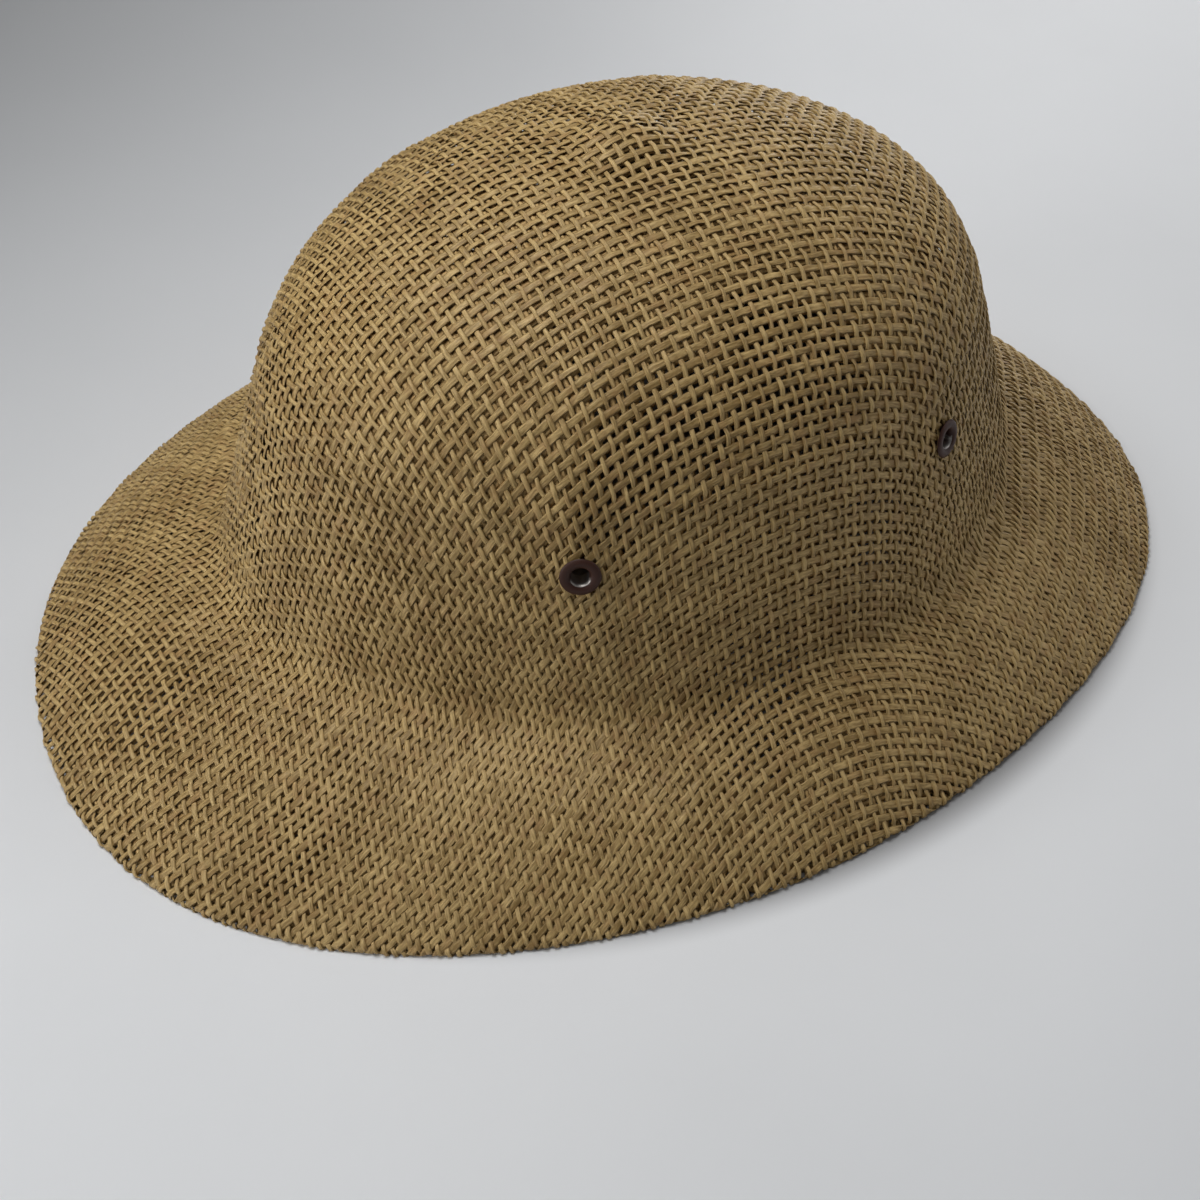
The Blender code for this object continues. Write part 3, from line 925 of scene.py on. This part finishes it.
def turned_eyelet(name, place):
    """Eyelet turned from its section by extruding and scaling one circle, then set into the crown."""
    select_none()
    first = EYELET_SECTION[0]
    bpy.ops.mesh.primitive_circle_add(
        vertices=EYELET_SIDES, radius=first["radius"] * MM, location=(0, 0, first["height"] * MM)
    )
    piece = bpy.context.object
    piece.name = piece.data.name = name
    bpy.ops.object.transform_apply(location=True)
    bpy.ops.object.mode_set(mode="EDIT")
    bpy.ops.mesh.select_all(action="SELECT")
    radius, height = first["radius"], first["height"]
    for row in (*EYELET_SECTION[1:], first):
        bpy.ops.mesh.extrude_edges_move(
            TRANSFORM_OT_translate={"value": (0, 0, (row["height"] - height) * MM)}
        )
        share = row["radius"] / radius
        bpy.ops.transform.resize(value=(share, share, 1), center_override=(0, 0, 0))
        radius, height = row["radius"], row["height"]
    bpy.ops.mesh.select_all(action="SELECT")
    bpy.ops.mesh.remove_doubles(threshold=MERGE_WITHIN)
    bpy.ops.mesh.normals_make_consistent(inside=False)
    bpy.ops.object.mode_set(mode="OBJECT")
    bpy.ops.object.shade_smooth_by_angle(angle=SMOOTH_BELOW)
    centre, side, up, normal = (Vector(value) for value in place)
    turned = Matrix((side, up, normal)).transposed().to_4x4()
    turned.translation = centre * MM
    piece.data.transform(turned)
    return piece


# %% [markdown]
# The flange is covered with a dark red-brown paint that has a soft gloss. Inside the tube the metal shows
# grey. In the tube's lower half more bare metal is shown than above: that part is a painted highlight, which
# stands for the light that falls on the lower inner wall. One mask mixes paint and metal in one material: the
# distance from the tube's middle says where the inside begins, and noise breaks the edge. How bare each point
# is, with the painted highlight, is stored as an attribute on the piece, because it is measured in the
# eyelet's own frame.

# %% Eyelet material
PAINT_COLOUR = (0.048, 0.019, 0.013, 1)
METAL_COLOUR = (0.52, 0.49, 0.46, 1)
PAINT_GRAIN = 900.0
PAINT_DETAIL = 4.0
PAINT_SMOOTHEST = 0.38
PAINT_ROUGHEST = 0.60
PAINT_BUMP = 0.15
PAINT_DEPTH = 0.0001
PAINT_SPECULAR = 0.25
NOISE_SHARE = 0.5
BARE_FROM = 0.72
BARE_TO = 0.95
BARE_RADIUS = 2.9
BARE_ABOVE = 0.35


def eyelet_material():
    material = bpy.data.materials.new("eyelet_paint")
    material.use_nodes = True
    nodes, links = material.node_tree.nodes, material.node_tree.links
    shader = nodes["Principled BSDF"]
    bare_metal_and_lit_side = nodes.new("ShaderNodeAttribute")
    bare_metal_and_lit_side.attribute_name = "bare_metal_and_lit_side"
    coordinates = nodes.new("ShaderNodeTexCoord")
    noise = nodes.new("ShaderNodeTexNoise")
    noise.inputs["Scale"].default_value = PAINT_GRAIN
    noise.inputs["Detail"].default_value = PAINT_DETAIL
    links.new(coordinates.outputs["Object"], noise.inputs["Vector"])
    broken = nodes.new("ShaderNodeMath")
    broken.operation = "MULTIPLY_ADD"
    broken.inputs[1].default_value = NOISE_SHARE
    links.new(noise.outputs["Fac"], broken.inputs[0])
    links.new(bare_metal_and_lit_side.outputs["Fac"], broken.inputs[2])
    mask = nodes.new("ShaderNodeMapRange")
    mask.inputs["From Min"].default_value = BARE_FROM
    mask.inputs["From Max"].default_value = BARE_TO
    links.new(broken.outputs["Value"], mask.inputs["Value"])
    colour = nodes.new("ShaderNodeMix")
    colour.data_type = "RGBA"
    colour.inputs["A"].default_value = PAINT_COLOUR
    colour.inputs["B"].default_value = METAL_COLOUR
    links.new(mask.outputs["Result"], colour.inputs["Factor"])
    links.new(colour.outputs["Result"], shader.inputs["Base Color"])
    links.new(mask.outputs["Result"], shader.inputs["Metallic"])
    rough = nodes.new("ShaderNodeMapRange")
    rough.inputs["To Min"].default_value = PAINT_SMOOTHEST
    rough.inputs["To Max"].default_value = PAINT_ROUGHEST
    links.new(noise.outputs["Fac"], rough.inputs["Value"])
    links.new(rough.outputs["Result"], shader.inputs["Roughness"])
    bump = nodes.new("ShaderNodeBump")
    bump.inputs["Strength"].default_value = PAINT_BUMP
    bump.inputs["Distance"].default_value = PAINT_DEPTH
    links.new(noise.outputs["Fac"], bump.inputs["Height"])
    links.new(bump.outputs["Normal"], shader.inputs["Normal"])
    shader.inputs["Specular IOR Level"].default_value = PAINT_SPECULAR
    return material


paint = eyelet_material()
for name, place in eyelet_places.items():
    eyelet = turned_eyelet(name + "_turned", place)
    attribute = eyelet.data.attributes.new("bare_metal_and_lit_side", "FLOAT", "POINT")
    centre, _, up, normal = place
    for vertex, value in zip(eyelet.data.vertices, attribute.data):
        offset = np.array(vertex.co) / MM - centre
        radius = np.linalg.norm(offset - (offset @ normal) * normal)
        # Below the tube's middle the metal is shown barer still: a painted highlight for the lit lower inner
        # wall.
        lower = max(0.0, -(offset @ up) / radius)
        value.value = (radius < BARE_RADIUS) * (BARE_ABOVE + (1 - BARE_ABOVE) * lower)
    eyelet.data.materials.append(paint)
    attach(eyelet, BODY)
    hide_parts(name)
    print(eyelet.name, len(eyelet.data.polygons), "faces")

# %% [markdown]
# ## Floor and light
#
# The hat was photographed on a pale sheet in soft light that comes from several sides at once. A large plane
# stands for the sheet. It is greyer in the picture's far left corner, and where the hat keeps the room's
# light off it, which is under the brim and for a finger's breadth beside it on the near right. These lamps
# don't make the sheet dark enough in either place, so both shades are painted on it.
#
# Six soft lamps stand round the hat: a close one overhead for the pale crown, two on the left, and three on
# the right and far side. The low one on the left has a narrow beam, which keeps part of its light off the
# sheet, but a bright pool stays beside it, outside the photographed view. A very dim world fills the rest.
# The lamps are placed by the picture's own directions, so each row of the table can be read against the
# photograph.

# %% Floor
FLOOR_SHADE_CENTRE = (-0.50, -0.25, 0.0)
FLOOR_SHADE_RADIUS = 0.55
FLOOR_SHADE_COLOUR = (0.20, 0.205, 0.21, 1)
UNDER_HAT_CENTRE = (0.007, 0.002, 0.0)
UNDER_HAT_HALF_SIZES = (0.135, 0.171, 1.0)
UNDER_HAT_SOFTNESS = 0.09
UNDER_HAT_COLOUR = (0.29, 0.29, 0.295, 1)
SHEET_SIZE = 4.0
SHEET_GREY = (0.79, 0.805, 0.825, 1)
SHEET_PALE = (0.82, 0.835, 0.855, 1)
GREY_BELOW = 0.3
SHEET_PALE_ABOVE = 0.7
SHEET_ROUGHNESS = 0.55
SHEET_GRAIN = 9.0
SHEET_DETAIL = 4.0
select_none()
bpy.ops.mesh.primitive_plane_add(size=SHEET_SIZE, location=(0, 0, 0))
floor = bpy.context.object
floor.name = floor.data.name = "floor"
sheet = bpy.data.materials.new("floor_sheet")
sheet.use_nodes = True
sheet_nodes, sheet_links = sheet.node_tree.nodes, sheet.node_tree.links
sheet_shader = sheet_nodes["Principled BSDF"]
sheet_shader.inputs["Roughness"].default_value = SHEET_ROUGHNESS
sheet_coordinates = sheet_nodes.new("ShaderNodeTexCoord")
sheet_noise = sheet_nodes.new("ShaderNodeTexNoise")
sheet_noise.inputs["Scale"].default_value = SHEET_GRAIN
sheet_noise.inputs["Detail"].default_value = SHEET_DETAIL
sheet_ramp = sheet_nodes.new("ShaderNodeValToRGB")
sheet_ramp.color_ramp.elements[0].position = GREY_BELOW
sheet_ramp.color_ramp.elements[0].color = SHEET_GREY
sheet_ramp.color_ramp.elements[1].position = SHEET_PALE_ABOVE
sheet_ramp.color_ramp.elements[1].color = SHEET_PALE
sheet_links.new(sheet_coordinates.outputs["Object"], sheet_noise.inputs["Vector"])
sheet_links.new(sheet_noise.outputs["Fac"], sheet_ramp.inputs["Fac"])


def soft_ball(centre, half_sizes):
    """Mask on the sheet that is 1 at a centre and falls evenly to 0 at the half sizes from it."""
    place = sheet_nodes.new("ShaderNodeMapping")
    place.vector_type = "TEXTURE"
    place.inputs["Location"].default_value = centre
    place.inputs["Scale"].default_value = half_sizes
    ball = sheet_nodes.new("ShaderNodeTexGradient")
    ball.gradient_type = "SPHERICAL"
    sheet_links.new(sheet_coordinates.outputs["Object"], place.inputs["Vector"])
    sheet_links.new(place.outputs["Vector"], ball.inputs["Vector"])
    return ball.outputs["Fac"]


def shaded(colour, shade, mask):
    """Colour of the sheet with a shade laid over it where the mask says so."""
    mix = sheet_nodes.new("ShaderNodeMix")
    mix.data_type = "RGBA"
    mix.inputs["B"].default_value = shade
    sheet_links.new(mask, mix.inputs["Factor"])
    sheet_links.new(colour, mix.inputs["A"])
    return mix.outputs["Result"]


far_corner = soft_ball(FLOOR_SHADE_CENTRE, (FLOOR_SHADE_RADIUS,) * 3)
under_hat = sheet_nodes.new("ShaderNodeMapRange")
under_hat.interpolation_type = "SMOOTHSTEP"
under_hat.inputs["From Max"].default_value = UNDER_HAT_SOFTNESS
sheet_links.new(soft_ball(UNDER_HAT_CENTRE, UNDER_HAT_HALF_SIZES), under_hat.inputs["Value"])
sheet_colour = shaded(sheet_ramp.outputs["Color"], FLOOR_SHADE_COLOUR, far_corner)
sheet_colour = shaded(sheet_colour, UNDER_HAT_COLOUR, under_hat.outputs["Result"])
sheet_links.new(sheet_colour, sheet_shader.inputs["Base Color"])
floor.data.materials.append(sheet)


# %% Light
LAMPS = (
    {"name": "close_overhead", "right": -0.17, "far": 0.0, "up": 0.57, "size": 0.35, "power": 2.5},
    {"name": "low_left", "right": -0.90, "far": -0.35, "up": 0.14, "size": 0.3, "power": 0.45, "beam": 80},
    {"name": "near_left", "right": -0.55, "far": -0.70, "up": 0.45, "size": 0.7, "power": 1.5},
    {"name": "right", "right": 0.91, "far": 0.10, "up": 0.40, "size": 0.7, "power": 1.9},
    {"name": "low_far_right", "right": 0.30, "far": 0.93, "up": 0.20, "size": 0.45, "power": 1.6},
    {"name": "far_right", "right": 0.44, "far": 0.88, "up": 0.46, "size": 0.8, "power": 1.8},
)
OPEN_BEAM = 180
LAMP_TARGET = Vector((0, 0, 0.05))
WORLD_COLOUR = (0.95, 0.97, 1.0, 1)
WORLD_STRENGTH = 0.03
away = Vector((forward.x, forward.y, 0)).normalized()


def lamp(name, right, far, up, size, power, beam=OPEN_BEAM):
    """Square lamp placed by the picture's own directions, shining at the middle of the hat."""
    data = bpy.data.lights.new(name, "AREA")
    data.shape = "SQUARE"
    data.size = size
    data.energy = power
    data.spread = math.radians(beam)
    light = bpy.data.objects.new(name, data)
    bpy.context.scene.collection.objects.link(light)
    light.location = LAMP_TARGET + sideways * right + away * far + Vector((0, 0, up))
    light.rotation_euler = (LAMP_TARGET - light.location).to_track_quat("-Z", "Y").to_euler()


for row in LAMPS:
    lamp(**row)
world = bpy.data.worlds.new("dim_room")
world.use_nodes = True
world.node_tree.nodes["Background"].inputs["Color"].default_value = WORLD_COLOUR
world.node_tree.nodes["Background"].inputs["Strength"].default_value = WORLD_STRENGTH
bpy.context.scene.world = world
bpy.context.scene.view_settings.view_transform = "Standard"
print("lamps:", ", ".join(row["name"] for row in LAMPS))
